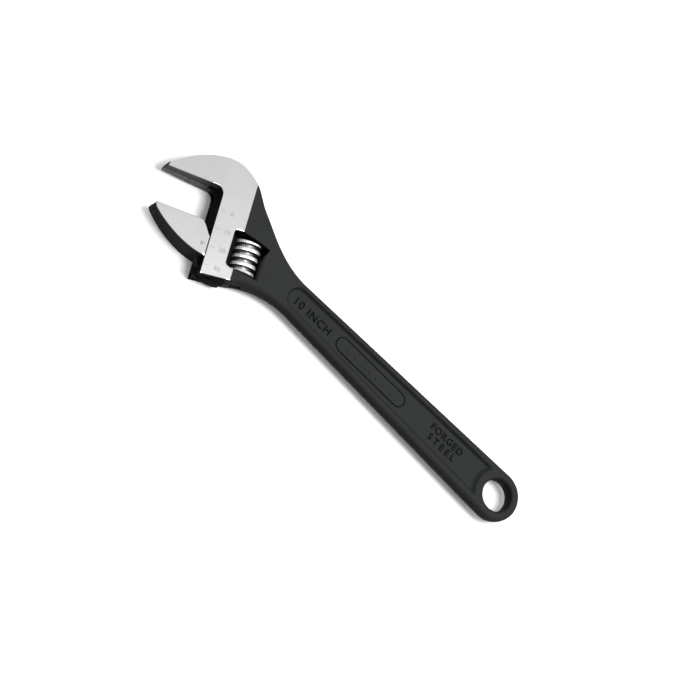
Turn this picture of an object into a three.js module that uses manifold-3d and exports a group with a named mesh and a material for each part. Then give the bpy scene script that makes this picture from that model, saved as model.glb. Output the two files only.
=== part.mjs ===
// Adjustable wrench, 250 mm size class, lying flat: jaws at -X, hanging hole at +X, thickness along Z.
//
// Five pieces: the forged body with its fixed jaw and handle, the movable jaw with its rack bar, the
// worm that drives the rack, the pin that the worm turns on, and the small spring that steadies it.
//
// Two sets of axes are used. The handle frame has its origin at the centre of the hanging hole, at
// mid-thickness, with X along the handle. The head frame has its origin in the corner of the jaws:
// x runs back towards the handle, so the jaws reach out along -x, and y is the way the movable jaw
// slides, with the fixed jaw's face at y = 0. The head frame is the handle frame turned by HEAD_ANGLE.
import * as THREE from 'three';
import { mergeVertices } from 'three/addons/utils/BufferGeometryUtils.js';
import Module from 'manifold-3d';

const wasm = await Module();
wasm.setup();

// Driving dimensions, mm
const HEAD_ANGLE = THREE.MathUtils.degToRad(22.5);
const JAW_CORNER = new THREE.Vector2(-215.4, 14.1);
const HEAD_HALF = 8.15;
const JAW_LENGTH = 31;
const JAW_TIP_HALF = 5.2;
const OPENING = 20.1;
const SHANK_DEPTH = 47.3;
const SHANK_WIDTH = 16.3;

const HANDLE_HALF = 4.4;
const HANDLE_END_RADIUS = 13.7;
const HANDLE_NECK = new THREE.Vector2(-148, 9.5);
const HOLE_RADIUS = 8.6;
const EDGE_ROUND = 2.8;
const RECESS_DEPTH = 1.7;

const PITCH = 4.1;
const WORM_X = 22.5;
const WORM_RADIUS = 8.1;
const THREAD_DEPTH = 2.2;
const WORM_TOP = -20.8;
const WORM_LENGTH = 17.2;
const WORM_BOTTOM = WORM_TOP - WORM_LENGTH;
const PIN_RADIUS = 1.9;
const PIN_HEAD_RADIUS = 2.8;
const PIN_SHOULDER = -40;

const BAR_X = 10.3;
const BAR_RADIUS = 5.9;
const BAR_TOP = -20.6;
const BAR_END = -47.4;
const WEB_HALF = 2.5;

const RUNNING_GAP = 0.32;
const TURN_SIDES = 32;
const THREAD_STEPS = 20;

// Booleans

function toSolid(geometry) {
  const bare = geometry.clone();
  bare.deleteAttribute('normal');
  bare.deleteAttribute('uv');
  const merged = mergeVertices(bare, 1e-4);
  return new wasm.Manifold(new wasm.Mesh({
    numProp: 3,
    vertProperties: new Float32Array(merged.attributes.position.array),
    triVerts: new Uint32Array(merged.index.array),
  }));
}

function toGeometry(solid) {
  const mesh = solid.getMesh();
  const geometry = new THREE.BufferGeometry();
  geometry.setAttribute('position', new THREE.BufferAttribute(new Float32Array(mesh.vertProperties), 3));
  geometry.setIndex(new THREE.BufferAttribute(new Uint32Array(mesh.triVerts), 1));
  const faceted = geometry.toNonIndexed();
  faceted.computeVertexNormals();
  return faceted;
}

// Building blocks

const HEAD_TO_HANDLE = new THREE.Matrix4()
  .makeRotationZ(HEAD_ANGLE)
  .setPosition(JAW_CORNER.x, JAW_CORNER.y, 0);

function head(x, y) {
  return new THREE.Vector2(x, y).rotateAround(new THREE.Vector2(), HEAD_ANGLE).add(JAW_CORNER);
}

function shapeOf(points) {
  return new THREE.Shape(points.map(([x, y]) => new THREE.Vector2(x, y)));
}

// A plate of the shape's outline, centred on z = 0.
function plate(shape, halfThickness, curveSegments = 10) {
  return new THREE.ExtrudeGeometry(shape, { depth: 2 * halfThickness, bevelEnabled: false, curveSegments })
    .translate(0, 0, -halfThickness);
}

// The same with edges that fall away by a quarter ellipse, inset wide and drop deep.
function crownedPlate(shape, halfThickness, inset, drop, curveSegments = 10) {
  const wall = 2 * (halfThickness - drop);
  return new THREE.ExtrudeGeometry(shape, {
    depth: wall,
    bevelThickness: drop,
    bevelSize: inset,
    bevelOffset: -inset,
    bevelSegments: 4,
    curveSegments,
  }).translate(0, 0, -wall / 2);
}

// A side view, drawn as (x, z), swept across the whole width.
function sideProfile(shape, halfWidth) {
  return new THREE.ExtrudeGeometry(shape, { depth: 2 * halfWidth, bevelEnabled: false, curveSegments: 10 })
    .rotateX(Math.PI / 2)
    .translate(0, halfWidth, 0);
}

// A round bar along the head frame's y, from bottom to top.
function turned(x, radius, bottom, top, sides = TURN_SIDES) {
  return new THREE.CylinderGeometry(radius, radius, top - bottom, sides)
    .translate(x, (top + bottom) / 2, 0);
}

function block(xLow, xHigh, yLow, yHigh, halfThickness) {
  return new THREE.BoxGeometry(xHigh - xLow, yHigh - yLow, 2 * halfThickness)
    .translate((xLow + xHigh) / 2, (yLow + yHigh) / 2, 0);
}

// The jaws get thinner towards their tips. Everything behind the corner keeps the full thickness.
function jawTaper() {
  const reach = JAW_LENGTH + 6;
  const tip = HEAD_HALF - (HEAD_HALF - JAW_TIP_HALF) * reach / JAW_LENGTH;
  return toSolid(sideProfile(shapeOf([
    [60, HEAD_HALF], [0, HEAD_HALF], [-reach, tip], [-reach, -tip], [0, -HEAD_HALF], [60, -HEAD_HALF],
  ]), 70));
}

// The worm thread

// A helix about the y axis whose frames keep the thread's section upright and pointing outwards.
class Helix extends THREE.Curve {
  constructor(radius, pitch, turns) {
    super();
    this.radius = radius;
    this.pitch = pitch;
    this.turns = turns;
  }

  getPoint(t, target = new THREE.Vector3()) {
    const angle = 2 * Math.PI * this.turns * (t - 0.5);
    const rise = this.pitch * this.turns * (t - 0.5);
    return target.set(this.radius * Math.sin(angle), rise, this.radius * Math.cos(angle));
  }

  getPointAt(t, target) {
    return this.getPoint(t, target);
  }

  computeFrenetFrames(segments) {
    const tangents = [];
    const normals = [];
    const binormals = [];
    for (let i = 0; i <= segments; i += 1) {
      const angle = 2 * Math.PI * this.turns * (i / segments - 0.5);
      const outward = new THREE.Vector3(Math.sin(angle), 0, Math.cos(angle));
      const along = new THREE.Vector3(Math.cos(angle), 0, -Math.sin(angle));
      tangents.push(along);
      normals.push(outward);
      binormals.push(new THREE.Vector3(0, -1, 0));
    }
    return { tangents, normals, binormals };
  }
}

// The threaded solid, trimmed to its two ends. grow swells every surface, for cutting its mate.
function threadSolid(bottom, top, grow = 0) {
  const root = WORM_RADIUS - THREAD_DEPTH;
  const crestHalf = 0.62 + grow;
  const footHalf = 1.35 + grow;
  const section = shapeOf([
    [-0.5, -footHalf], [grow, -footHalf],
    [THREAD_DEPTH + grow, -crestHalf], [THREAD_DEPTH + grow, crestHalf],
    [grow, footHalf], [-0.5, footHalf],
  ]);
  const turns = Math.ceil((top - bottom) / PITCH) + 2;
  const thread = toSolid(new THREE.ExtrudeGeometry(section, {
    steps: turns * THREAD_STEPS,
    bevelEnabled: false,
    extrudePath: new Helix(root, PITCH, turns),
  }));
  const middle = (WORM_TOP + WORM_BOTTOM) / 2;
  const core = toSolid(turned(0, root + grow, bottom - middle, top - middle));
  const trim = toSolid(turned(0, WORM_RADIUS + grow + 1, bottom - middle, top - middle));
  return thread.intersect(trim).add(core).translate([WORM_X, middle, 0]);
}

// Body

// Upper edge of the web, from the head round to the handle's neck.
function webTopTo(shape) {
  shape.bezierCurveTo(-191, 24.2, -173, HANDLE_NECK.y, HANDLE_NECK.x - 2, HANDLE_NECK.y);
}

function webBottomFrom(shape) {
  const foot = head(15, -45);
  shape.bezierCurveTo(-165, -HANDLE_NECK.y, -175.5, -17.3, foot.x, foot.y);
}

// Outer arc of the fixed jaw, over the top of the head, to where the web starts.
function jawBackTo(shape, place) {
  const [a, b, top] = [place(-22.8, 8.9), place(-12, 16.1), place(1, 16.1)];
  const [c, d, end] = [place(7, 16.1), place(12.5, 12.4), place(SHANK_WIDTH, 9.1)];
  shape.bezierCurveTo(a.x, a.y, b.x, b.y, top.x, top.y);
  shape.bezierCurveTo(c.x, c.y, d.x, d.y, end.x, end.y);
}

// Fixed jaw and shank: the ground part of the head, with flat faces of the full thickness.
function fixedJaw() {
  const here = (x, y) => new THREE.Vector2(x, y);
  const shape = new THREE.Shape();
  shape.moveTo(0, -SHANK_DEPTH);
  shape.lineTo(0, -5);
  shape.quadraticCurveTo(0, 0, -5, 0);
  shape.lineTo(-JAW_LENGTH, 0);
  shape.lineTo(-30.3, 2.6);
  jawBackTo(shape, here);
  shape.lineTo(SHANK_WIDTH, -44.8);
  return toSolid(plate(shape, HEAD_HALF))
    .intersect(jawTaper())
    .transform(HEAD_TO_HANDLE.elements);
}

// The web between the shank and the handle: full thickness by the worm, crowned edges, and a long
// slope down to the handle's thickness.
function web() {
  const [top, bottom, foot] = [head(SHANK_WIDTH, 9.1), head(8, -45.9), head(15, -45)];
  const inner = head(8, 8);
  const outline = new THREE.Shape();
  outline.moveTo(inner.x, inner.y);
  outline.lineTo(top.x, top.y);
  webTopTo(outline);
  outline.lineTo(HANDLE_NECK.x, -HANDLE_NECK.y);
  webBottomFrom(outline);
  outline.lineTo(bottom.x, bottom.y);

  const slope = new THREE.Shape();
  slope.moveTo(-240, -HEAD_HALF);
  slope.lineTo(-188, -HEAD_HALF);
  slope.bezierCurveTo(-172, -HEAD_HALF, -172, -HANDLE_HALF, -156, -HANDLE_HALF);
  slope.lineTo(-140, -HANDLE_HALF);
  slope.lineTo(-140, HANDLE_HALF);
  slope.lineTo(-156, HANDLE_HALF);
  slope.bezierCurveTo(-172, HANDLE_HALF, -172, HEAD_HALF, -188, HEAD_HALF);
  slope.lineTo(-240, HEAD_HALF);
  return toSolid(crownedPlate(outline, HEAD_HALF, 4.5, 5.2))
    .intersect(toSolid(sideProfile(slope, 60)));
}

function handle() {
  const lean = Math.asin((HANDLE_END_RADIUS - HANDLE_NECK.y) / -HANDLE_NECK.x);
  const start = -172;
  const startHalf = HANDLE_NECK.y + (start - HANDLE_NECK.x) * Math.tan(lean);
  const shape = new THREE.Shape();
  shape.moveTo(start, startHalf);
  shape.lineTo(start, -startHalf);
  shape.absarc(0, 0, HANDLE_END_RADIUS, -Math.PI / 2 - lean, Math.PI / 2 + lean, false);
  return toSolid(crownedPlate(shape, HANDLE_HALF, EDGE_ROUND, EDGE_ROUND, 24));
}

// The long panel sunk into each face of the handle, stopping at the boss round the hanging hole.
function recess(side) {
  const endRound = 6.4;
  const ring = 12.6;
  const farHalf = 9.4;
  const farX = -Math.sqrt(ring ** 2 - farHalf ** 2);
  const shape = new THREE.Shape();
  shape.absarc(-149.4, 0, endRound, Math.PI / 2, 3 * Math.PI / 2, false);
  const ringAngle = Math.atan2(farHalf, farX);
  shape.absarc(0, 0, ring, -ringAngle, ringAngle, true);
  const depth = RECESS_DEPTH + 3;
  return toSolid(new THREE.ExtrudeGeometry(shape, { depth, bevelEnabled: false, curveSegments: 10 })
    .translate(0, 0, side > 0 ? HANDLE_HALF - RECESS_DEPTH : -HANDLE_HALF + RECESS_DEPTH - depth));
}

function hangingHole() {
  const wide = HOLE_RADIUS + 1.6;
  const profile = [
    [0, -6], [wide + 0.4, -6], [wide, -HANDLE_HALF], [HOLE_RADIUS, -HANDLE_HALF + 1.3],
    [HOLE_RADIUS, HANDLE_HALF - 1.3], [wide, HANDLE_HALF], [wide + 0.4, 6], [0, 6],
  ];
  return toSolid(new THREE.LatheGeometry(profile.map(([x, y]) => new THREE.Vector2(x, y)), 40)
    .rotateX(Math.PI / 2));
}

// Everything cut out of the head for the moving pieces, in the head frame.
function headCuts() {
  const barRadius = BAR_RADIUS + RUNNING_GAP;
  const bore = toSolid(turned(BAR_X, barRadius, -56, 0.8, 40));
  const slot = toSolid(block(-6, BAR_X, -56, 0.8, WEB_HALF + RUNNING_GAP));

  const window = new THREE.Shape();
  window.moveTo(11.5, -36.4);
  window.lineTo(11.5, -20);
  window.quadraticCurveTo(11.7, -18.2, 13.4, -18.1);
  window.lineTo(16.5, -17.9);
  window.lineTo(29.7, -20.4);
  window.lineTo(29.7, -38.9);
  window.lineTo(14.5, -38.4);
  window.quadraticCurveTo(11.7, -38.1, 11.5, -36.4);
  const opening = toSolid(plate(window, HEAD_HALF + 2));
  const pocket = toSolid(turned(WORM_X, WORM_RADIUS + 0.5, WORM_BOTTOM - 0.4, WORM_TOP + 0.4, 40));

  const pinHole = toSolid(turned(WORM_X, PIN_RADIUS + RUNNING_GAP, -50, -12.6));
  const screwHole = toSolid(turned(WORM_X, PIN_HEAD_RADIUS + RUNNING_GAP, -50, PIN_SHOULDER + 0.4));
  return bore.add(slot).add(opening).add(pocket).add(pinHole).add(screwHole);
}

function wrenchBody() {
  return fixedJaw().add(web()).add(handle())
    .subtract(recess(1))
    .subtract(recess(-1))
    .subtract(hangingHole())
    .subtract(headCuts().transform(HEAD_TO_HANDLE.elements));
}

// Movable jaw: the jaw itself, the web that reaches into the shank's slot, and the rack bar, whose
// teeth are the space left by the worm's thread.
function movableJaw() {
  const shape = new THREE.Shape();
  shape.moveTo(-RUNNING_GAP, -27.7);
  shape.bezierCurveTo(-2.6, -24.8, -4.4, -OPENING, -7.4, -OPENING);
  shape.lineTo(-JAW_LENGTH, -OPENING);
  shape.lineTo(-JAW_LENGTH - 0.4, -OPENING - 1.1);
  shape.lineTo(-30.6, -22.6);
  shape.bezierCurveTo(-24, -29.2, -12, -36.6, -RUNNING_GAP, -37.9);
  const jaw = toSolid(plate(shape, HEAD_HALF)).intersect(jawTaper());

  const spine = shapeOf([
    [-3, -30], [-RUNNING_GAP, -22], [2, BAR_TOP], [BAR_X, BAR_TOP],
    [BAR_X, BAR_END], [4, BAR_END], [1, -45], [-3, -36.5],
  ]);
  const bar = toSolid(turned(BAR_X, BAR_RADIUS, BAR_END, BAR_TOP, 40));
  const rackCut = threadSolid(BAR_END - 6, BAR_TOP + 6, RUNNING_GAP);
  return jaw.add(toSolid(plate(spine, WEB_HALF))).add(bar.subtract(rackCut));
}

const SPRING = {
  wire: 0.35,
  outer: 3.35,
  bottom: WORM_BOTTOM - 0.1,
  top: WORM_BOTTOM + 4.6,
  turns: 3,
};

// The worm has a plain bore for the pin and a counterbore in its lower end for the spring.
function wormSolid() {
  const bore = toSolid(turned(WORM_X, PIN_RADIUS + RUNNING_GAP, WORM_BOTTOM - 1, WORM_TOP + 1, 24));
  const seatRadius = SPRING.outer + RUNNING_GAP;
  const springSeat = toSolid(turned(WORM_X, seatRadius, WORM_BOTTOM - 1, SPRING.top, 24));
  return threadSolid(WORM_BOTTOM, WORM_TOP).subtract(bore).subtract(springSeat);
}

function springGeometry() {
  const section = new THREE.Shape();
  section.absarc(0, 0, SPRING.wire, 0, 2 * Math.PI, false);
  const length = SPRING.top - RUNNING_GAP - SPRING.bottom - 2 * SPRING.wire;
  const coil = new Helix(SPRING.outer - SPRING.wire, length / SPRING.turns, SPRING.turns);
  return new THREE.ExtrudeGeometry(section, {
    steps: SPRING.turns * 20,
    curveSegments: 6,
    bevelEnabled: false,
    extrudePath: coil,
  }).translate(WORM_X, SPRING.bottom + SPRING.wire + length / 2, 0);
}

// The pin screws in from the lower edge of the head; its end is slotted for a screwdriver.
function pinSolid() {
  const [top, end] = [-13, -43.4];
  const profile = [
    [0, end], [PIN_HEAD_RADIUS - 0.4, end], [PIN_HEAD_RADIUS, end + 0.4], [PIN_HEAD_RADIUS, PIN_SHOULDER],
    [PIN_RADIUS, PIN_SHOULDER + 0.1], [PIN_RADIUS, top - 0.5], [PIN_RADIUS - 0.5, top], [0, top],
  ];
  const stem = toSolid(new THREE.LatheGeometry(profile.map(([x, y]) => new THREE.Vector2(x, y)), 28)
    .translate(WORM_X, 0, 0));
  const slot = toSolid(block(WORM_X - 4, WORM_X + 4, end - 1, end + 1.2, 0.45));
  return stem.subtract(slot);
}

// Scene graph

function steel(color, roughness, metalness) {
  return new THREE.MeshStandardMaterial({ color, roughness, metalness });
}

const blackened = steel(0x3b3d3c, 0.55, 0.5);
const ground = steel(0xc9cbcb, 0.35, 0.95);
const plated = steel(0xdfe1e2, 0.2, 1);
const springSteel = steel(0x8d9093, 0.35, 0.9);

function named(name, geometry, material) {
  const mesh = new THREE.Mesh(geometry, material);
  mesh.name = name;
  return mesh;
}

const headGroup = new THREE.Group();
headGroup.rotation.z = HEAD_ANGLE;
headGroup.position.set(JAW_CORNER.x, JAW_CORNER.y, 0);
headGroup.add(
  named('movable_jaw', toGeometry(movableJaw()), ground),
  named('adjusting_worm', toGeometry(wormSolid()), plated),
  named('worm_spring', springGeometry(), springSteel),
  named('worm_pin', toGeometry(pinSolid()), blackened),
);

const wrench = new THREE.Group();
wrench.add(named('wrench_body', toGeometry(wrenchBody()), blackened), headGroup);

// The row's origin is under the middle of the whole wrench, on the face that it lies on.
const box = new THREE.Box3().setFromObject(wrench, true);
const centre = box.getCenter(new THREE.Vector3());
wrench.position.set(-centre.x, -centre.y, -box.min.z);

export default wrench;
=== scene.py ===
"""Adjustable wrench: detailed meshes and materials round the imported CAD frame.

Plan shapes are drawn in millimetres in two sets of axes, the same two that the CAD uses. The handle
frame has its origin at the centre of the hanging hole. The head frame is turned by HEAD_ANGLE and has
its origin in the corner of the jaws, with x back towards the handle and y the way the jaw slides.
"""
import math

import bmesh
import bpy
import numpy as np
from mathutils import Matrix, Vector, geometry


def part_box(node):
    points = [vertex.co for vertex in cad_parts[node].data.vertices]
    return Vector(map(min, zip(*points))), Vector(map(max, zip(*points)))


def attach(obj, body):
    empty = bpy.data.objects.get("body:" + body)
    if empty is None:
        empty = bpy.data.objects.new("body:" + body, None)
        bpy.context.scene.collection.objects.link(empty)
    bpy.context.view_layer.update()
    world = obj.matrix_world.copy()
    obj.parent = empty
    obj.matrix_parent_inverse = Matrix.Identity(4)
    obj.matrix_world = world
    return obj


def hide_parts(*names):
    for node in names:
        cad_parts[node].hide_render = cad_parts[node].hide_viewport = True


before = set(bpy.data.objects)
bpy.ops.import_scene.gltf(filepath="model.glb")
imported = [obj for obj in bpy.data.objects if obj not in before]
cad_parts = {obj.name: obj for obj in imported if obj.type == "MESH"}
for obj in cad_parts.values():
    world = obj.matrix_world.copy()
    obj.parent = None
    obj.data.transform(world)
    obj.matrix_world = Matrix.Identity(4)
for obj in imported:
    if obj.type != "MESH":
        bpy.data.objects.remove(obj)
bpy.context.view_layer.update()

MM = 0.001

# Driving dimensions, mm
HEAD_ANGLE = math.radians(22.5)
JAW_CORNER = np.array((-215.4, 14.1))
HEAD_HALF = 8.15
JAW_LENGTH = 31.0
JAW_TIP_HALF = 5.2
OPENING = 20.1
SHANK_DEPTH = 47.3
SHANK_WIDTH = 16.3

HANDLE_HALF = 4.4
END_RADIUS = 13.7
NECK = np.array((-148.0, 9.5))
HOLE_RADIUS = 8.6
RECESS_DEPTH = 2.0
RECESS_RING = 12.6
RECESS_FLOOR = HANDLE_HALF - RECESS_DEPTH

PITCH = 4.1
WORM_X = 22.5
WORM_RADIUS = 8.1
THREAD_DEPTH = 2.2
THREAD_POINTS = 14
WORM_TOP = -20.8
WORM_LENGTH = 17.2
WORM_BOTTOM = WORM_TOP - WORM_LENGTH
PIN_RADIUS = 1.9
PIN_HEAD_RADIUS = 2.8
PIN_TOP = -13.0
PIN_SHOULDER = -40.0
PIN_END = -43.4
SPRING_RADIUS = 3.35
SPRING_SEAT = 4.6

BAR_X = 10.3
BAR_RADIUS = 5.9
BAR_TOP = -20.6
BAR_END = -47.4
WEB_HALF = 2.5
GAP = 0.32
INDEX_Y = -32.1

# ---------------------------------------------------------------- plan geometry

COS, SIN = math.cos(HEAD_ANGLE), math.sin(HEAD_ANGLE)


def head(x, y):
    """A point of the head frame, in the handle frame."""
    return JAW_CORNER + np.array((x * COS - y * SIN, x * SIN + y * COS))


def to_head(points):
    """Handle-frame points, as head-frame x and y."""
    d = np.asarray(points) - JAW_CORNER
    return d[..., 0] * COS + d[..., 1] * SIN, d[..., 1] * COS - d[..., 0] * SIN


def line(a, b, step=0.8):
    a, b = np.asarray(a, float), np.asarray(b, float)
    n = max(1, round(np.linalg.norm(b - a) / step))
    return a + (b - a) * np.linspace(0, 1, n + 1)[:, None]


def bezier(a, b, c, d, step=0.8):
    a, b, c, d = (np.asarray(p, float) for p in (a, b, c, d))
    reach = np.linalg.norm(b - a) + np.linalg.norm(c - b) + np.linalg.norm(d - c)
    t = np.linspace(0, 1, max(4, round(reach / step)) + 1)[:, None]
    return a * (1 - t) ** 3 + 3 * b * t * (1 - t) ** 2 + 3 * c * t ** 2 * (1 - t) + d * t ** 3


def bend(a, corner, b, step=0.5):
    """A rounded corner: a quadratic curve from a to b that heads for the corner."""
    a, corner, b = (np.asarray(p, float) for p in (a, corner, b))
    return bezier(a, a + (corner - a) * 2 / 3, b + (corner - b) * 2 / 3, b, step)


def arc(centre, radius, start, end, step=0.8):
    n = max(6, round(abs(end - start) * radius / step))
    a = np.linspace(start, end, n + 1)
    return np.asarray(centre) + radius * np.column_stack((np.cos(a), np.sin(a)))


def joined(*stretches):
    """One closed outline from stretches laid end to end, with doubled points dropped."""
    points = np.vstack(stretches)
    keep = np.linalg.norm(points - np.roll(points, 1, axis=0), axis=1) > 0.02
    return points[keep]


def distance(points, path, closed=True):
    """How far each point is from the path."""
    points = np.asarray(points, float)
    a = np.asarray(path)
    b = np.roll(a, -1, axis=0)
    if not closed:
        a, b = a[:-1], b[:-1]
    ab = b - a
    best = np.full(len(points), np.inf)
    for i in range(0, len(points), 4000):
        p = points[i:i + 4000, None, :]
        t = np.clip(((p - a) * ab).sum(2) / (ab ** 2).sum(1), 0, 1)
        gap = p - (a + t[..., None] * ab)
        best[i:i + 4000] = np.sqrt((gap ** 2).sum(2)).min(1)
    return best


def inside(points, outline):
    points = np.asarray(points, float)
    a = np.asarray(outline)
    b = np.roll(a, -1, axis=0)
    x, y = points[:, :1], points[:, 1:]
    crosses = (a[:, 1] > y) != (b[:, 1] > y)
    rise = np.where(b[:, 1] == a[:, 1], 1e-12, b[:, 1] - a[:, 1])
    at = a[:, 0] + (y - a[:, 1]) * (b[:, 0] - a[:, 0]) / rise
    return (crosses & (x < at)).sum(1) % 2 == 1


def smooth(t):
    t = np.clip(t, 0, 1)
    return t * t * (3 - 2 * t)


def round_over(d, width, drop):
    """How far a surface falls at a distance d from its edge, by a quarter ellipse."""
    t = 1 - np.clip(d / width, 0, 1)
    return drop * (1 - np.sqrt(1 - t * t))


# ---------------------------------------------------------------- frame to world

# The body reaches furthest along x at the ring's end, and furthest back along y at the shank's heel.
low, high = (np.array(corner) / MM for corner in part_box("wrench_body"))
ORIGIN = np.array((high[0] - END_RADIUS, low[1] - head(0, -SHANK_DEPTH)[1], (low[2] + high[2]) / 2))
PLACE = Matrix.Translation(Vector(ORIGIN * MM)) @ Matrix.Scale(MM, 4)
HEAD_PLACE = PLACE @ Matrix.Translation((*JAW_CORNER, 0)) @ Matrix.Rotation(HEAD_ANGLE, 4, "Z")


def mesh_object(name, vertices, faces, place=PLACE):
    mesh = bpy.data.meshes.new(name)
    mesh.from_pydata([tuple(v) for v in vertices], [], faces)
    mesh.transform(place)
    mesh.update()
    obj = bpy.data.objects.new(name, mesh)
    bpy.context.scene.collection.objects.link(obj)
    return obj


def boolean(obj, other, operation):
    """Cuts or joins another object into this one for good, and removes the other."""
    modifier = obj.modifiers.new(operation.lower(), "BOOLEAN")
    modifier.operation = operation
    modifier.solver = "MANIFOLD"
    modifier.object = other
    graph = bpy.context.evaluated_depsgraph_get()
    mesh = bpy.data.meshes.new_from_object(obj.evaluated_get(graph))
    obj.modifiers.clear()
    obj.data = mesh
    bpy.data.objects.remove(other)
    return obj


def crisp(obj, degrees=32):
    """Smooth shading that breaks at real edges."""
    obj.data.shade_smooth()
    obj.data.set_sharp_from_angle(angle=math.radians(degrees))
    return obj


# ---------------------------------------------------------------- solids from plan shapes

def slab(name, outline, height, holes=(), lines=(), extra=(), bulge=0.0, place=PLACE):
    """A closed solid, the same above and below its middle, whose half-thickness is height(points).

    lines are stretches that the mesh follows exactly, and extra are points that help it follow a
    curved surface. bulge is how far the parting line stands out of the side walls.
    """
    loops = [outline, *holes]
    points, edges = [], []
    for loop in loops:
        start = sum(len(p) for p in points)
        n = len(loop)
        points.append(loop)
        edges += [(start + i, start + (i + 1) % n) for i in range(n)]
    for path in lines:
        start = sum(len(p) for p in points)
        points.append(path)
        edges += [(start + i, start + i + 1) for i in range(len(path) - 1)]
    inner = np.vstack([np.empty((0, 2)), *extra])
    keep = inside(inner, outline)
    for hole in holes:
        keep &= ~inside(inner, hole)
    for loop in loops:
        keep &= distance(inner, loop) > 0.08
    for path in lines:
        keep &= distance(inner, path, closed=False) > 0.12
    points.append(inner[keep])
    flat = [Vector(p) for p in np.vstack(points)]
    result = geometry.delaunay_2d_cdt(flat, edges, [], 0, 1e-5)
    xy = np.array([tuple(v) for v in result[0]])
    triangles = np.array([f for f in result[2] if len(f) == 3])
    centres = xy[triangles].mean(1)
    keep = inside(centres, outline)
    for hole in holes:
        keep &= ~inside(centres, hole)
    triangles = triangles[keep]
    a, b, c = (xy[triangles[:, i]] for i in range(3))
    turn = (b[:, 0] - a[:, 0]) * (c[:, 1] - a[:, 1]) - (b[:, 1] - a[:, 1]) * (c[:, 0] - a[:, 0])
    triangles = np.where((turn < 0)[:, None], triangles[:, ::-1], triangles)

    z = height(xy)
    n = len(xy)
    directed = dict.fromkeys((t[i], t[(i + 1) % 3]) for t in triangles for i in range(3))
    rim = [e for e in directed if (e[1], e[0]) not in directed]
    outward = np.zeros((n, 2))
    for i, j in rim:
        d = xy[j] - xy[i]
        normal = np.array((d[1], -d[0])) / max(1e-9, np.hypot(*d))
        outward[i] += normal
        outward[j] += normal
    size = np.linalg.norm(outward, axis=1, keepdims=True)
    outward = np.where(size > 1e-9, outward / np.maximum(size, 1e-9), 0)

    vertices = [np.column_stack((xy, z)), np.column_stack((xy, -z))]
    faces = [tuple(int(v) for v in t) for t in triangles]
    faces += [tuple(int(v) + n for v in t[::-1]) for t in triangles]
    rings = [0]
    if bulge:
        crest = np.column_stack((xy + outward * bulge, np.zeros(n)))
        for level in (0.25, 0.0, -0.25):
            rings.append(sum(len(v) for v in vertices))
            ring = crest.copy() if level == 0 else np.column_stack((xy, np.full(n, level)))
            vertices.append(ring)
    rings.append(n)
    for i, j in rim:
        for upper, lower in zip(rings, rings[1:]):
            faces.append((int(i + upper), int(i + lower), int(j + lower), int(j + upper)))
    obj = mesh_object(name, np.vstack(vertices), faces, place)
    drop_loose(obj)
    return obj


def drop_loose(obj):
    """Deletes the plan points that no face came to use."""
    bm = bmesh.new()
    bm.from_mesh(obj.data)
    bmesh.ops.delete(bm, geom=[v for v in bm.verts if not v.link_faces], context="VERTS")
    bm.to_mesh(obj.data)
    bm.free()


def rows_inside(outline, depths):
    """Points at each depth inside the outline, one for each outline point."""
    ahead, behind = np.roll(outline, -1, axis=0), np.roll(outline, 1, axis=0)
    along = ahead - behind
    normal = np.column_stack((along[:, 1], -along[:, 0])) / np.linalg.norm(along, axis=1)[:, None]
    area = (outline[:, 0] * ahead[:, 1] - ahead[:, 0] * outline[:, 1]).sum()
    if area > 0:
        normal = -normal
    rows = []
    for depth in depths:
        row = outline + normal * depth
        rows.append(row[distance(row, outline) > depth * 0.93])
    return rows


def grid(low, high, step):
    """Points in staggered rows over a box."""
    xs = np.arange(low[0], high[0], step)
    ys = np.arange(low[1], high[1], step)
    x, y = np.meshgrid(xs, ys)
    x = x + (np.arange(len(ys)) % 2)[:, None] * step / 2
    return np.column_stack((x.ravel(), y.ravel()))


def lathe(name, profile, sides=64, place=HEAD_PLACE, x=0.0):
    """A closed solid of revolution about the head frame's y, from (radius, y) points on the axis."""
    ring = [(r, y) for r, y in profile if r > 0]
    ends = (profile[0][1], profile[-1][1])
    vertices = [(x, ends[0], 0.0), (x, ends[1], 0.0)]
    for r, y in ring:
        for k in range(sides):
            a = 2 * math.pi * k / sides
            vertices.append((x + r * math.cos(a), y, r * math.sin(a)))
    faces = []
    for k in range(sides):
        n = (k + 1) % sides
        faces.append((0, 2 + k, 2 + n))
        last = 2 + (len(ring) - 1) * sides
        faces.append((1, last + n, last + k))
        for i in range(len(ring) - 1):
            low, high = 2 + i * sides, 2 + (i + 1) * sides
            faces.append((low + k, high + k, high + n, low + n))
    return mesh_object(name, vertices, faces, place)


def rod(x, radius, bottom, top, sides=64):
    """A plain cylinder, to cut with."""
    return lathe("cutter", [(0, bottom), (radius, bottom), (radius, top), (0, top)], sides, x=x)


def block(x_low, x_high, y_low, y_high, half):
    corners = [(x, y, z) for x in (x_low, x_high) for y in (y_low, y_high) for z in (-half, half)]
    faces = [(0, 1, 3, 2), (4, 6, 7, 5), (0, 4, 5, 1), (2, 3, 7, 6), (0, 2, 6, 4), (1, 5, 7, 3)]
    return mesh_object("cutter", corners, faces, HEAD_PLACE)


# ---------------------------------------------------------------- body

def jaw_taper(x):
    """Half-thickness of the ground faces: the jaws get thinner towards their tips."""
    return HEAD_HALF - (HEAD_HALF - JAW_TIP_HALF) * np.clip(-x / JAW_LENGTH, 0, 1.2)


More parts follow.
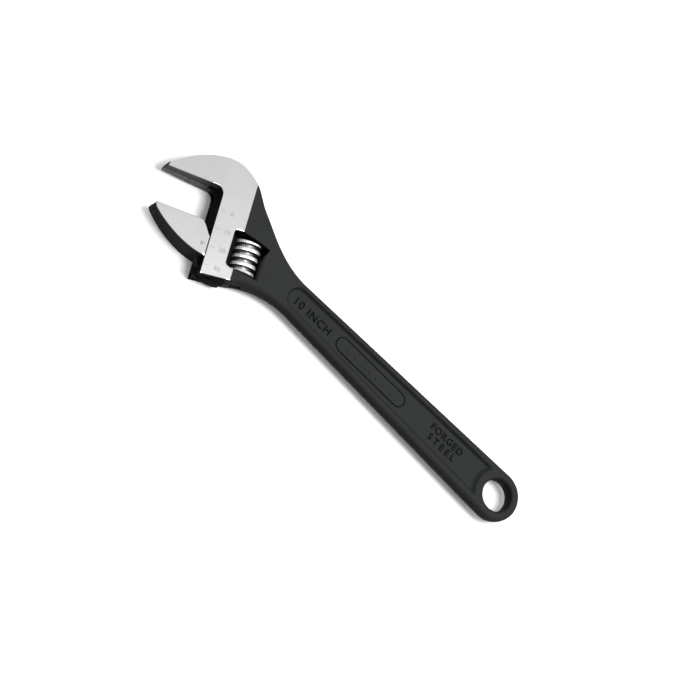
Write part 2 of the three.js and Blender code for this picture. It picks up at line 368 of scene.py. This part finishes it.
def body_outline():
    foot, heel = head(15, -45), head(0, -SHANK_DEPTH)
    web_start = head(SHANK_WIDTH, 9.1)
    lean = math.asin((END_RADIUS - NECK[1]) / -NECK[0])
    neck_top, neck_low = NECK - (2, 0), NECK * (1, -1)
    end = arc((0, 0), END_RADIUS, math.pi / 2 + lean, -math.pi / 2 - lean)
    return joined(
        line(heel, head(0, -5)),
        bend(head(0, -5), head(0, 0), head(-5, 0)),
        line(head(-5, 0), head(-JAW_LENGTH, 0)),
        line(head(-JAW_LENGTH, 0), head(-30.3, 2.6)),
        bezier(head(-30.3, 2.6), head(-22.8, 8.9), head(-12, 16.1), head(1, 16.1)),
        bezier(head(1, 16.1), head(7, 16.1), head(12.5, 12.4), web_start),
        bezier(web_start, (-191, 24.2), (-173, NECK[1]), neck_top),
        line(neck_top, end[0]),
        end,
        line(end[-1], neck_low),
        bezier(neck_low, (-165, -NECK[1]), (-175.5, -17.3), foot),
        line(foot, heel),
    )


def window_outline():
    left_top = [(11.5, -20.0), (11.6, -18.2), (13.6, -18.1)]
    right_top = [(28.6, -20.2), (29.7, -20.4), (29.7, -21.6)]
    right_foot = [(29.7, -37.9), (29.7, -38.9), (28.6, -38.86)]
    left_foot = [(14.5, -38.4), (11.7, -38.1), (11.5, -36.4)]
    return joined(
        bend(*(head(*p) for p in left_top), step=0.35),
        line(head(13.6, -18.1), head(16.5, -17.9), 0.5),
        line(head(16.5, -17.9), head(28.6, -20.2), 0.5),
        bend(*(head(*p) for p in right_top), step=0.35),
        line(head(29.7, -21.6), head(29.7, -37.9), 0.5),
        bend(*(head(*p) for p in right_foot), step=0.35),
        line(head(28.6, -38.86), head(14.5, -38.4), 0.5),
        bend(*(head(*p) for p in left_foot), step=0.35),
        line(head(11.5, -36.4), head(11.5, -20.0), 0.5),
    )


def recess_outline():
    end_round, ring, far_half = 6.9, RECESS_RING, 9.75
    far_x = -math.sqrt(ring ** 2 - far_half ** 2)
    centre = (-148.6, 0)
    angle = math.atan2(far_half, far_x)
    far_top = np.array((far_x, far_half))
    near = arc(centre, end_round, math.pi / 2, 3 * math.pi / 2)
    return joined(
        near,
        line(near[-1], far_top * (1, -1)),
        arc((0, 0), ring, 2 * math.pi - angle, angle),
        line(far_top, near[0]),
    )


OUTLINE = body_outline()
WINDOW = window_outline()
RECESS = recess_outline()
HOLE = arc((0, 0), HOLE_RADIUS, 0, 2 * math.pi, 0.6)[:-1]


def scoop(x, y):
    """The hollow beside the window that clears the worm: a deep notch at its upper end, then a bevel."""
    reach = 3.1 - 0.55 * np.clip((-22.2 - y) / 1.2, 0, 6)
    notch = 6.0 * smooth((29.4 + reach - x) / 0.5) * smooth((-20.5 - 0.2 * (x - 29) - y) / 0.4)
    notch = notch * (y > -28)
    bevel = 1.1 * smooth((32.2 - x) / 2.2) * smooth((-21 - y) / 1.5) * smooth((y + 40) / 2.5)
    return np.maximum(notch, bevel) * (x > 29)


def body_height(points):
    x, y = to_head(points)
    edge = distance(points, OUTLINE)
    slope = HEAD_HALF - (HEAD_HALF - HANDLE_HALF) * smooth((points[:, 0] + 188) / 34)
    ground = jaw_taper(x) - round_over(edge, 0.2, 0.2)

    fade = smooth((points[:, 0] + 180) / 26)
    start = smooth((x - SHANK_WIDTH) / 9)
    width = (0.6 + 3.9 * start) * (1 - fade) + 3.0 * fade
    drop = (0.6 + 4.4 * start) * (1 - fade) + 2.9 * fade
    forged = slope - round_over(edge, width, drop) - scoop(x, y)
    ring_gap = np.hypot(points[:, 0], points[:, 1]) - RECESS_RING
    wall = smooth(distance(points, RECESS) / 1.7) * smooth(ring_gap / 3.4)
    sunk = np.where(inside(points, RECESS), wall, 0)
    forged = forged - RECESS_DEPTH * sunk
    rim = np.hypot(points[:, 0], points[:, 1]) - HOLE_RADIUS
    forged = forged - round_over(rim, 1.7, 1.5)

    half = np.where(x <= SHANK_WIDTH + 1e-4, ground, forged)
    return half - round_over(distance(points, WINDOW), 0.2, 0.15)


def ground_border():
    """Where the bright ground face stops and the blackened forging starts."""
    top = line(head(SHANK_WIDTH, 9.0), head(SHANK_WIDTH, -17.7), 0.6)
    foot = line(head(SHANK_WIDTH, -38.6), head(SHANK_WIDTH - 0.6, -44.9), 0.6)
    return [top, foot]


def wrench_body():
    rim_steps = (0.15, 0.4, 0.8, 1.25, 1.7)
    rim_rows = [arc((0, 0), HOLE_RADIUS + d, 0, 2 * math.pi, 0.7)[:-1] for d in rim_steps]
    border = ground_border()
    extra = [
        *rows_inside(OUTLINE, (0.08, 0.2, 0.45, 0.8, 1.4, 2.1, 3.0, 4.0, 5.0)),
        *rows_inside(WINDOW, (-0.1, -0.2)),
        *rows_inside(RECESS, (0.2, 0.5, 0.8, 1.1, 1.4, 1.7)),
        *[arc((0, 0), RECESS_RING + d, 2.3, 4.0, 0.7) for d in (0.6, 1.2, 1.8, 2.4, 3.0, 3.4)],
        *rim_rows,
        *[p + 0.15 * np.array((COS, SIN)) for p in border],
        grid(head(16, 0) - (4, 45), (-150, 34), 0.9),
        grid((-150, -14), (12, 14), 2.2),
        grid((-245, -35), (-190, 34), 2.5),
    ]
    fine = grid(head(29, -40) - (6, 4), head(34, -18) + (2, 4), 0.4)
    x, y = to_head(fine)
    extra.append(fine[(x > 29.3) & (x < 34) & (y < -18) & (y > -41)])
    body = slab("wrench_body_forging", OUTLINE, body_height, [HOLE, WINDOW], [RECESS, *border], extra,
                bulge=0.12)

    boolean(body, rod(BAR_X, BAR_RADIUS + GAP, -56, 0.8, 96), "DIFFERENCE")
    boolean(body, block(-6, BAR_X, -56, 0.8, WEB_HALF + GAP), "DIFFERENCE")
    boolean(body, rod(WORM_X, WORM_RADIUS + 0.5, WORM_BOTTOM - 0.4, WORM_TOP + 0.4, 96), "DIFFERENCE")
    boolean(body, rod(WORM_X, PIN_RADIUS + GAP, -50, -12.6, 48), "DIFFERENCE")
    boolean(body, rod(WORM_X, PIN_HEAD_RADIUS + GAP, -50, PIN_SHOULDER + 0.4, 64), "DIFFERENCE")
    return crisp(body)


# ---------------------------------------------------------------- movable jaw

def jaw_outline():
    return joined(
        bezier((-GAP, -27.7), (-2.6, -24.8), (-4.4, -OPENING), (-7.4, -OPENING), 0.5),
        line((-7.4, -OPENING), (-JAW_LENGTH, -OPENING)),
        line((-JAW_LENGTH, -OPENING), (-JAW_LENGTH - 0.4, -OPENING - 1.1), 0.5),
        line((-JAW_LENGTH - 0.4, -OPENING - 1.1), (-30.6, -22.6), 0.5),
        bezier((-30.6, -22.6), (-24, -29.2), (-12, -36.6), (-GAP, -37.9)),
        line((-GAP, -37.9), (-GAP, -27.7)),
    )


def movable_jaw():
    outline = jaw_outline()

    def jaw_height(points):
        return jaw_taper(points[:, 0]) - round_over(distance(points, outline), 0.2, 0.2)

    jaw = slab("movable_jaw_forging", outline, jaw_height,
               extra=[*rows_inside(outline, (0.08, 0.2, 1.0)), grid((-32, -38), (0, -20), 2.0)],
               place=HEAD_PLACE)
    spine = joined(
        line((-3, -30), (-GAP, -22), 3), line((-GAP, -22), (2, BAR_TOP), 3),
        line((2, BAR_TOP), (BAR_X, BAR_TOP), 3), line((BAR_X, BAR_TOP), (BAR_X, BAR_END), 3),
        line((BAR_X, BAR_END), (4, BAR_END), 3), line((4, BAR_END), (1, -45), 3),
        line((1, -45), (-3, -36.5), 3), line((-3, -36.5), (-3, -30), 3),
    )
    web = slab("web", spine, lambda points: np.full(len(points), WEB_HALF), place=HEAD_PLACE)
    r = BAR_RADIUS
    bar = lathe("bar", [(0, BAR_END), (r - 0.8, BAR_END), (r - 0.2, BAR_END + 0.25), (r, BAR_END + 0.9),
                        (r, BAR_TOP - 0.5), (r - 0.5, BAR_TOP), (0, BAR_TOP)], 96, x=BAR_X)
    cutter = thread("cutter", BAR_END - 6, BAR_TOP + 6, grow=GAP, columns=96)
    boolean(bar, cutter, "DIFFERENCE")
    boolean(jaw, web, "UNION")
    boolean(jaw, bar, "UNION")
    return crisp(jaw)


# ---------------------------------------------------------------- worm, pin and spring

def thread(name, bottom, top, grow=0.0, notch=0.0, columns=192):
    """A threaded rod about the worm's axis. notch is the depth of the knurl across its crests."""
    root = WORM_RADIUS - THREAD_DEPTH + grow
    crest_half, foot_half = 0.8 + grow, 1.45 + grow
    offsets = np.linspace(-0.5, 0.5, THREAD_POINTS, endpoint=False) * PITCH
    rises = smooth((foot_half - np.abs(offsets)) / (foot_half - crest_half))
    middle = (WORM_TOP + WORM_BOTTOM) / 2
    first = math.floor((bottom - middle) / PITCH) - 2
    turns = math.ceil((top - middle) / PITCH) + 2 - first
    count = turns * THREAD_POINTS
    vertices = []
    for c in range(columns):
        angle = 2 * math.pi * c / columns
        cut = notch if c % 4 == 0 else 0.0
        for level in range(count):
            turn, k = divmod(level, THREAD_POINTS)
            reach = root + THREAD_DEPTH * rises[k] - cut * (rises[k] > 0.9)
            y = middle + (first + turn + c / columns) * PITCH + offsets[k]
            vertices.append((WORM_X + reach * math.sin(angle), y, reach * math.cos(angle)))
    faces = []
    top_level = count - THREAD_POINTS - 1
    for c in range(columns):
        shift = 0 if c < columns - 1 else THREAD_POINTS
        here, there = c * count, ((c + 1) % columns) * count
        for g in range(top_level):
            faces.append((here + g, there + g + shift, there + g + shift + 1, here + g + 1))
    # The seam steps up by one turn, so each open end closes over the seam's points as well.
    for level, up in ((0, False), (top_level, True)):
        rim = [c * count + level for c in range(columns)]
        rim += [level + g for g in range(THREAD_POINTS, 0, -1)]
        centre = len(vertices)
        vertices.append((WORM_X, sum(vertices[i][1] for i in rim) / len(rim), 0.0))
        for a, b in zip(rim, rim[1:] + rim[:1]):
            faces.append((centre, a, b) if up else (centre, b, a))
    rough = mesh_object(name, vertices, faces, HEAD_PLACE)
    wide, chamfer = WORM_RADIUS + grow + 0.1, 0.5
    trim = lathe("cutter", [
        (0, bottom), (wide - chamfer, bottom), (wide, bottom + chamfer),
        (wide, top - chamfer), (wide - chamfer, top), (0, top),
    ], 96, x=WORM_X)
    return boolean(rough, trim, "INTERSECT")


def adjusting_worm():
    worm = thread("worm_knurl", WORM_BOTTOM, WORM_TOP, notch=0.12)
    boolean(worm, rod(WORM_X, PIN_RADIUS + GAP, WORM_BOTTOM - 1, WORM_TOP + 1, 48), "DIFFERENCE")
    seat = rod(WORM_X, SPRING_RADIUS + GAP, WORM_BOTTOM - 1, WORM_BOTTOM + SPRING_SEAT, 64)
    boolean(worm, seat, "DIFFERENCE")
    return crisp(worm, 40)


def worm_pin():
    top, shoulder, end, wide = PIN_TOP, PIN_SHOULDER, PIN_END, PIN_HEAD_RADIUS
    pin = lathe("pin_screw", [
        (0, end), (wide - 0.4, end), (wide, end + 0.4), (wide, shoulder - 0.1), (wide - 0.1, shoulder),
        (PIN_RADIUS, shoulder + 0.1), (PIN_RADIUS, top - 0.5), (PIN_RADIUS - 0.5, top), (0, top),
    ], 64, x=WORM_X)
    boolean(pin, block(WORM_X - 4, WORM_X + 4, end - 1, end + 1.2, 0.45), "DIFFERENCE")
    return crisp(pin)


def worm_spring():
    wire, turns = 0.35, 3
    bottom, top = WORM_BOTTOM - 0.1, WORM_BOTTOM + SPRING_SEAT - GAP
    radius = SPRING_RADIUS - wire
    rise = top - bottom - 2 * wire
    steps, sides = 48 * turns, 12
    vertices = []
    for i in range(steps + 1):
        t = i / steps
        a = 2 * math.pi * turns * t
        y = bottom + wire + rise * t
        for k in range(sides):
            b = 2 * math.pi * k / sides
            r = radius + wire * math.cos(b)
            vertices.append((WORM_X + r * math.sin(a), y + wire * math.sin(b), r * math.cos(a)))
    faces = []
    for i in range(steps):
        for k in range(sides):
            n = (k + 1) % sides
            faces.append((i * sides + k, i * sides + n, (i + 1) * sides + n, (i + 1) * sides + k))
    faces.append(tuple(range(sides))[::-1])
    faces.append(tuple(steps * sides + k for k in range(sides)))
    return crisp(mesh_object("spring_coil", vertices, faces, HEAD_PLACE), 50)


# ---------------------------------------------------------------- marks

def lettering(name, text, size, centre, level, height, turn=0.0, spacing=1.15):
    """Raised letters standing on a flat face at the level, seen from above."""
    curve = bpy.data.curves.new(name, "FONT")
    curve.body = text
    curve.size = size
    curve.align_x, curve.align_y = "CENTER", "CENTER"
    curve.space_character = spacing
    curve.resolution_u = 4
    curve.extrude = height / 2
    curve.bevel_depth = 0.04
    curve.bevel_resolution = 1
    draft = bpy.data.objects.new(name, curve)
    bpy.context.scene.collection.objects.link(draft)
    bpy.context.view_layer.update()
    mesh = bpy.data.meshes.new_from_object(draft)
    bpy.data.objects.remove(draft)
    place = Matrix.Translation((*centre, level + height / 2 - 0.05)) @ Matrix.Rotation(turn, 4, "Z")
    mesh.transform(PLACE @ place)
    obj = bpy.data.objects.new(name, mesh)
    bpy.context.scene.collection.objects.link(obj)
    return obj


def low_plate(name, outline, level, height, holes=(), place=PLACE):
    """A thin plate with a softened upper edge, sunk a little into the face that it stands on."""
    rim = rows_inside(outline, (0.06, 0.14))

    def lift(points):
        d = distance(points, outline)
        for hole in holes:
            d = np.minimum(d, distance(points, hole))
        return height / 2 + 0.05 - round_over(d, 0.14, height * 0.45)

    raised = Matrix.Translation((0, 0, (level + height / 2 - 0.05) * MM)) @ place
    return slab(name, outline, lift, holes, extra=rim, place=raised)


def stadium(half_length, half_width, centre):
    """A long outline with round ends."""
    x, y = centre
    reach = half_length - half_width
    return joined(
        arc((x - reach, y), half_width, math.pi / 2, 3 * math.pi / 2, 0.5),
        arc((x + reach, y), half_width, -math.pi / 2, math.pi / 2, 0.5),
    )


def badge():
    """A blank oval badge: a raised outline round a row of plain studs."""
    centre, length, width, band = (-94.8, 0.0), 24.7, 4.2, 0.5
    outer = stadium(length, width, centre)
    inner = stadium(length - band, width - band, centre)
    pieces = [low_plate("badge_outline", outer, RECESS_FLOOR, 0.5, [inner])]
    for k in range(7):
        x = centre[0] + (k - 3) * 5.2
        stud = np.array([(x + 1.5, 0), (x, 1.7), (x - 1.5, 0), (x, -1.7)])
        pieces.append(low_plate(f"badge_stud_{k + 1}", stud, RECESS_FLOOR, 0.4))
    return pieces


def scale_marks():
    """The opening scale on the shank, in millimetres, read against the triangle on the movable jaw."""
    pieces = []
    for k, value in enumerate((0, 10, 20, 30)):
        y = INDEX_Y + OPENING - value
        centre = head(7.8, y)
        pieces.append(lettering(f"scale_{value}", str(value), 3.2, centre, HEAD_HALF, 0.07, HEAD_ANGLE))
        tick = joined(line((0.9, y - 0.14), (3.6, y - 0.14), 5), line((3.6, y + 0.14), (0.9, y + 0.14), 5))
        pieces.append(low_plate(f"scale_tick_{value}", tick, HEAD_HALF, 0.02, place=HEAD_PLACE))
    return pieces


def index_mark():
    y = INDEX_Y
    outline = np.array([(-1.2, y), (-3.9, y + 1.0), (-3.9, y - 1.0)])
    return low_plate("index_triangle", outline, float(jaw_taper(np.array([-1.2]))[0]), 0.02, place=HEAD_PLACE)


# ---------------------------------------------------------------- materials

class Nodes:
    """A short way to write a material's node tree."""

    def __init__(self, name):
        self.material = bpy.data.materials.new(name)
        self.material.use_nodes = True
        self.tree = self.material.node_tree
        self.shader = self.tree.nodes["Principled BSDF"]
        self.texture = self.add("ShaderNodeTexCoord")
        self.place = self.texture.outputs["Object"]

    def add(self, kind, **settings):
        node = self.tree.nodes.new(kind)
        for key, value in settings.items():
            setattr(node, key, value)
        return node

    def link(self, output, target):
        self.tree.links.new(output, target)

    def noise(self, scale, detail=4.0, roughness=0.55, stretch=None, turn=0.0):
        node = self.add("ShaderNodeTexNoise")
        node.inputs["Scale"].default_value = scale
        node.inputs["Detail"].default_value = detail
        node.inputs["Roughness"].default_value = roughness
        source = self.place
        if stretch:
            mapping = self.add("ShaderNodeMapping")
            mapping.inputs["Scale"].default_value = stretch
            mapping.inputs["Rotation"].default_value = (0, 0, turn)
            self.link(source, mapping.inputs["Vector"])
            source = mapping.outputs["Vector"]
        self.link(source, node.inputs["Vector"])
        return node.outputs["Fac"]

    def span(self, value, low, high, to_low, to_high):
        node = self.add("ShaderNodeMapRange")
        node.inputs["From Min"].default_value = low
        node.inputs["From Max"].default_value = high
        node.inputs["To Min"].default_value = to_low
        node.inputs["To Max"].default_value = to_high
        self.link(value, node.inputs["Value"])
        return node.outputs["Result"]

    def ramp(self, value, *stops):
        node = self.add("ShaderNodeValToRGB")
        node.color_ramp.elements[0].position = stops[0][0]
        node.color_ramp.elements[0].color = (*stops[0][1], 1)
        node.color_ramp.elements[1].position = stops[-1][0]
        node.color_ramp.elements[1].color = (*stops[-1][1], 1)
        for position, color in stops[1:-1]:
            node.color_ramp.elements.new(position).color = (*color, 1)
        self.link(value, node.inputs["Fac"])
        return node.outputs["Color"]

    def upward(self):
        """How squarely the surface faces up or down, from 0 on a wall to 1 on a flat."""
        parts = self.add("ShaderNodeSeparateXYZ")
        self.link(self.texture.outputs["Normal"], parts.inputs["Vector"])
        size = self.add("ShaderNodeMath", operation="ABSOLUTE")
        self.link(parts.outputs["Z"], size.inputs[0])
        return size.outputs["Value"]

    def shade(self, color, amount):
        """The colour times a grey amount."""
        mix = self.add("ShaderNodeVectorMath", operation="SCALE")
        self.link(color, mix.inputs[0])
        self.link(amount, mix.inputs["Scale"])
        return mix.outputs["Vector"]

    def bump(self, value, strength, depth, under=None):
        node = self.add("ShaderNodeBump")
        node.inputs["Strength"].default_value = strength
        node.inputs["Distance"].default_value = depth
        self.link(value, node.inputs["Height"])
        if under:
            self.link(under, node.inputs["Normal"])
        return node.outputs["Normal"]

    def finish(self, color, roughness, normal=None, metallic=0.0, specular=0.5):
        self.link(color, self.shader.inputs["Base Color"])
        self.link(roughness, self.shader.inputs["Roughness"])
        if normal:
            self.link(normal, self.shader.inputs["Normal"])
        self.shader.inputs["Metallic"].default_value = metallic
        self.shader.inputs["Specular IOR Level"].default_value = specular
        return self.material


def black_phosphate(name="black_phosphate", depth=1.0):
    """A matt black coating, with painted shade that darkens it on walls. depth below 1 darkens all of it as
    painted shade, for marks and pockets.
    """
    n = Nodes(name)
    cloud = n.noise(70, 5, 0.6)
    grain = n.noise(1400, 3, 0.6)
    pits = n.noise(420, 4, 0.55)
    low, high = (np.array(c) * depth for c in ((0.0200, 0.0220, 0.0212), (0.0216, 0.0236, 0.0228)))
    color = n.ramp(cloud, (0.3, low), (0.7, high))
    # Painted shade: the colour falls to 0.3 of itself on a sheer wall and stays whole on a flat.
    color = n.shade(color, n.span(n.upward(), 0.1, 0.95, 0.3, 1.0))
    rough = n.span(pits, 0.3, 0.7, 0.5, 0.64)
    normal = n.bump(grain, 0.2, 0.00006, n.bump(pits, 0.25, 0.00016))
    return n.finish(color, rough, normal, specular=0.03 * depth)


def ground_steel():
    n = Nodes("ground_steel")
    cloud = n.noise(45, 4, 0.55)
    lines = n.noise(1, 6, 0.7, stretch=(60, 3200, 60), turn=-HEAD_ANGLE)
    color = n.ramp(cloud, (0.3, (0.62, 0.62, 0.617)), (0.7, (0.66, 0.66, 0.655)))
    rough = n.span(lines, 0.3, 0.7, 0.15, 0.20)
    normal = n.bump(lines, 0.06, 0.00003)
    return n.finish(color, rough, normal, metallic=1.0)


def machined_steel():
    """Broached and milled faces that stay darker than the ground sides."""
    n = Nodes("machined_steel")
    cloud = n.noise(120, 5, 0.6)
    lines = n.noise(1, 5, 0.7, stretch=(1800, 120, 120), turn=-HEAD_ANGLE)
    color = n.ramp(cloud, (0.3, (0.012, 0.015, 0.013)), (0.7, (0.022, 0.026, 0.023)))
    rough = n.span(lines, 0.3, 0.7, 0.4, 0.6)
    normal = n.bump(lines, 0.3, 0.00005)
    return n.finish(color, rough, normal, metallic=0.2, specular=0.25)


def bright_plate(name="bright_plate", depth=1.0):
    """Plated steel. depth darkens it as painted shade, for the bottoms of the thread's grooves."""
    n = Nodes(name)
    cloud = n.noise(160, 4, 0.6)
    fine = n.noise(1500, 3, 0.6)
    low, high = (np.array(c) * depth for c in ((0.70, 0.72, 0.72), (0.76, 0.77, 0.765)))
    color = n.ramp(cloud, (0.3, low), (0.7, high))
    rough = n.span(fine, 0.3, 0.7, 0.28, 0.36)
    normal = n.bump(fine, 0.08, 0.00003)
    return n.finish(color, rough, normal, metallic=1.0)


def spring_steel():
    n = Nodes("spring_steel")
    cloud = n.noise(500, 4, 0.6)
    color = n.ramp(cloud, (0.3, (0.30, 0.30, 0.31)), (0.7, (0.42, 0.42, 0.42)))
    rough = n.span(cloud, 0.3, 0.7, 0.28, 0.42)
    return n.finish(color, rough, n.bump(cloud, 0.1, 0.00003), metallic=1.0)


def etched_mark():
    n = Nodes("etched_mark")
    speck = n.noise(2500, 3, 0.6)
    color = n.ramp(speck, (0.3, (0.16, 0.16, 0.17)), (0.7, (0.34, 0.34, 0.34)))
    rough = n.span(speck, 0.3, 0.7, 0.5, 0.7)
    return n.finish(color, rough, n.bump(speck, 0.2, 0.00002), metallic=0.6)


BLACK, GROUND, MACHINED = black_phosphate(), ground_steel(), machined_steel()
# Painted shade: the coating at 0.3 of its colour, for the slot, bore, pocket, letters and badge outline,
# where shade falls.
PAINTED_SHADE = black_phosphate("phosphate_painted_shade", 0.3)
PLATE, SPRING, ETCHED = bright_plate(), spring_steel(), etched_mark()
# Painted shade: the plating at 0.45 of its colour, for the bottoms of the thread's grooves.
GROOVE_SHADE = bright_plate("groove_painted_shade", 0.45)


def paint_faces(obj, materials, choose):
    """Gives each face the material that choose(centres, normals) numbers, in mm and the head frame."""
    mesh = obj.data
    mesh.materials.clear()
    for material in materials:
        mesh.materials.append(material)
    count = len(mesh.polygons)
    centres, normals = np.empty(count * 3), np.empty(count * 3)
    mesh.polygons.foreach_get("center", centres)
    mesh.polygons.foreach_get("normal", normals)
    place = np.array(HEAD_PLACE.inverted())
    centres = centres.reshape(-1, 3) @ place[:3, :3].T + place[:3, 3]
    normals = normals.reshape(-1, 3) @ (place[:3, :3].T * MM)
    mesh.polygons.foreach_set("material_index", choose(centres, normals).astype(np.int32))
    mesh.update()


def body_finish(centres, normals):
    """0 is the coating, 1 the ground faces, 2 the fixed jaw's face, and 3 painted shade: the darkened black
    in the slot, bore and pocket.
    """
    x, y, z = centres.T
    flat = np.abs(normals[:, 2]) > 0.6
    index = np.zeros(len(x), int)
    in_ground = (x < SHANK_WIDTH) & (np.abs(z) > jaw_taper(x) - 0.7)
    index[flat & in_ground] = 1
    jaw_face = (np.abs(y) < 0.3) & (x < -2) & ~flat
    index[jaw_face] = 2
    front = (x > -2) & (x < 5) & (y < 0.3) & ~flat & (y > -SHANK_DEPTH - 0.5)
    bore = (np.hypot(x - BAR_X, z) < BAR_RADIUS + GAP + 0.05) & (y < 1.0)
    notch = (x > 29.5) & (x < 33) & (y < -20) & (y > -28) & (np.abs(z) < HEAD_HALF - 1.6)
    bevel = (x > 29.5) & (x < 30.7) & (y < -28) & (y > -38.8)
    # Painted shade: the slot's walls, the bore, the notch and the bevel beside the window get the darkened
    # black, where shade falls.
    index[((front | bore | notch) & (np.abs(z) < HEAD_HALF - 0.4)) | bevel] = 3
    return index


def jaw_finish(centres, normals):
    """0 is the coating, 1 the ground faces, 2 the movable jaw's face, and 3 painted shade: the darkened black
    on the web and bar.
    """
    x, y, z = centres.T
    flat = (np.abs(normals[:, 2]) > 0.6) & (np.abs(z) > WEB_HALF + 1) & (x < 0)
    index = np.zeros(len(x), int)
    index[flat] = 1
    index[(np.abs(y + OPENING) < 0.1) & (x < -6)] = 2
    # Painted shade: the web and bar, which sit in the slot, get the darkened black.
    index[x > -0.5] = 3
    return index


def worm_finish(centres, normals):
    """Painted shade: darker plating at the bottoms of the thread's grooves."""
    return (np.hypot(centres[:, 0] - WORM_X, centres[:, 2]) < WORM_RADIUS - 0.7).astype(int)


# ---------------------------------------------------------------- pieces

def whole(obj, material):
    """Gives the whole piece one material."""
    obj.data.materials.clear()
    obj.data.materials.append(material)
    return obj


body = wrench_body()
paint_faces(body, [BLACK, GROUND, MACHINED, PAINTED_SHADE], body_finish)
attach(body, "body")
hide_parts("wrench_body")

jaw = movable_jaw()
paint_faces(jaw, [BLACK, GROUND, MACHINED, PAINTED_SHADE], jaw_finish)
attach(jaw, "jaw")
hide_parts("movable_jaw")

worm = adjusting_worm()
paint_faces(worm, [PLATE, GROOVE_SHADE], worm_finish)
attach(worm, "worm")
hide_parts("adjusting_worm")

pin = whole(worm_pin(), BLACK)
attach(pin, "body")
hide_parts("worm_pin")

spring = whole(worm_spring(), SPRING)
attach(spring, "body")
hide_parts("worm_spring")


size_mark = lettering("size_mark", "10 INCH", 6.2, (-137.3, -0.6), RECESS_FLOOR, 0.5)
steel_mark = [
    lettering("steel_mark_upper", "FORGED", 5.4, (-40, 2.9), RECESS_FLOOR, 0.45),
    lettering("steel_mark_lower", "STEEL", 5.4, (-40, -2.5), RECESS_FLOOR, 0.45, spacing=1.5),
]
# Painted shade: the letters get the darkened black, in place of the shade in their strokes.
for piece in [size_mark, *steel_mark]:
    whole(crisp(piece), PAINTED_SHADE)
    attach(piece, "body")
for piece in badge():
    # Painted shade: the badge's outline gets the darkened black, in place of the shade along its edge.
    whole(crisp(piece), PAINTED_SHADE if piece.name == "badge_outline" else BLACK)
    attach(piece, "body")
for piece in scale_marks():
    whole(crisp(piece), ETCHED)
    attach(piece, "body")
triangle = whole(crisp(index_mark()), ETCHED)
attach(triangle, "jaw")


# ---------------------------------------------------------------- stage

def floor():
    size = 3.0
    obj = mesh_object("floor", [(-size, -size, 0), (size, -size, 0), (size, size, 0), (-size, size, 0)],
                      [(0, 1, 2, 3)], Matrix.Identity(4))
    n = Nodes("floor_paper")
    shade = n.noise(3, 2, 0.5)
    color = n.ramp(shade, (0.3, (0.93, 0.93, 0.93)), (0.7, (0.95, 0.95, 0.95)))
    n.finish(color, n.span(shade, 0.3, 0.7, 0.85, 0.9), specular=0.1)
    obj.data.materials.append(n.material)


def area_light(name, place, target, size, power):
    data = bpy.data.lights.new(name, "AREA")
    data.shape = "RECTANGLE"
    data.size, data.size_y = size
    data.energy = power
    obj = bpy.data.objects.new(name, data)
    obj.location = place
    obj.rotation_euler = (Vector(target) - Vector(place)).to_track_quat("-Z", "Y").to_euler()
    bpy.context.scene.collection.objects.link(obj)


def world_light(horizon, zenith):
    """A sky that brightens from the horizon up."""
    world = bpy.data.worlds.new("studio")
    world.use_nodes = True
    tree = world.node_tree
    place = tree.nodes.new("ShaderNodeTexCoord")
    parts = tree.nodes.new("ShaderNodeSeparateXYZ")
    span = tree.nodes.new("ShaderNodeMapRange")
    span.inputs["From Min"].default_value = 0.0
    span.inputs["From Max"].default_value = 0.8
    span.inputs["To Min"].default_value = horizon
    span.inputs["To Max"].default_value = zenith
    background = tree.nodes["Background"]
    background.inputs["Color"].default_value = (1, 1, 1, 1)
    tree.links.new(place.outputs["Generated"], parts.inputs["Vector"])
    tree.links.new(parts.outputs["Z"], span.inputs["Value"])
    tree.links.new(span.outputs["Result"], background.inputs["Strength"])
    bpy.context.scene.world = world


def camera():
    """The camera, placed in the handle frame."""
    place = PLACE @ Vector((-363.7, -481.9, 989.7))
    target = PLACE @ Vector((-117.6, 2.1, 0))
    up = Vector((-0.684, 0.708, 0.176))
    back = (place - target).normalized()
    right = up.cross(back).normalized()
    data = bpy.data.cameras.new("camera")
    data.sensor_width = 36
    data.lens = 116.25
    obj = bpy.data.objects.new("camera", data)
    turn = Matrix((right, back.cross(right), back)).transposed()
    obj.matrix_world = Matrix.Translation(place) @ turn.to_4x4()
    bpy.context.scene.collection.objects.link(obj)
    bpy.context.scene.camera = obj


floor()
world_light(0.25, 0.85)
area_light("key", (0.27, 0.10, 1.27), (-0.02, 0, 0), (0.5, 0.5), 16)
area_light("end", (1.0, 0.15, 0.7), (0, 0, 0), (0.5, 0.5), 2)
camera()
bpy.context.scene.view_settings.view_transform = "Standard"
